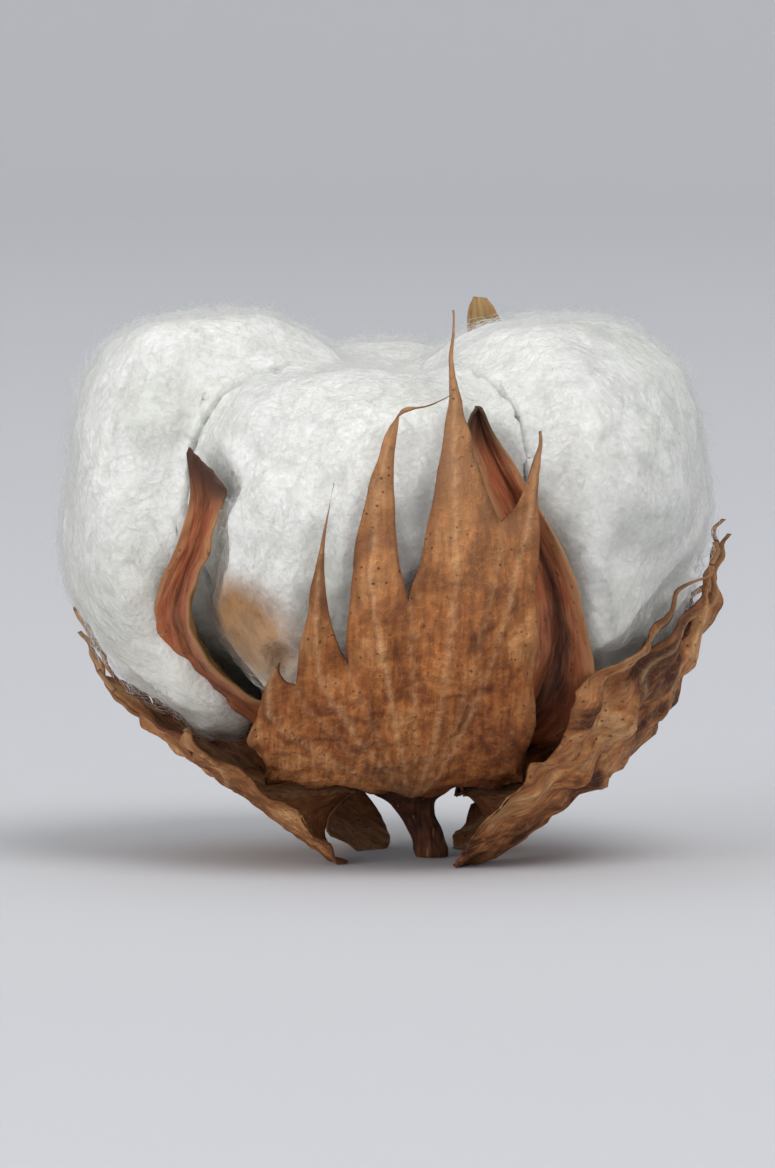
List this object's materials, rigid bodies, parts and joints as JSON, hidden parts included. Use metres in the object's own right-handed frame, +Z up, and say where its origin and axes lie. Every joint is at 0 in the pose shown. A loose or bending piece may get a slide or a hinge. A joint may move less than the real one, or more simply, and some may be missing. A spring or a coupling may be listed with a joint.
{
  "type": "open cotton boll",
  "caption": "Open cotton boll on a short stalk stub: white lint locks swelling from a split woody burr, with a calyx cup and toothed papery bracts round its foot.",
  "frame": {"origin": "on the surface the boll stands on, below the middle of its outline", "axes": "+Z up through the boll, -Y towards the viewer of the picture, +X to the viewer's right"},
  "size_m": [0.0612, 0.0586, 0.0518],
  "materials": {
    "lint": "matte, soft loose white fibre, faintly creamy in the folds",
    "burr": "dry, dark chocolate brown groove, redder and paler towards the margins",
    "dry_leaf": "matte papery dry leaf, orange brown with darker veins and specks",
    "stalk": "matte reddish brown bark with fine lengthwise ridges"
  },
  "bodies": {
    "root": {"stalk": "stalk", "calyx": "dry_leaf", "burr": "burr", "bract_front": "dry_leaf", "bract_left": "dry_leaf", "bract_right": "dry_leaf", "lock_1": "lint", "lock_2": "lint", "lock_3": "lint", "lock_4": "lint", "lock_5": "lint"}
  },
  "joints": []
}
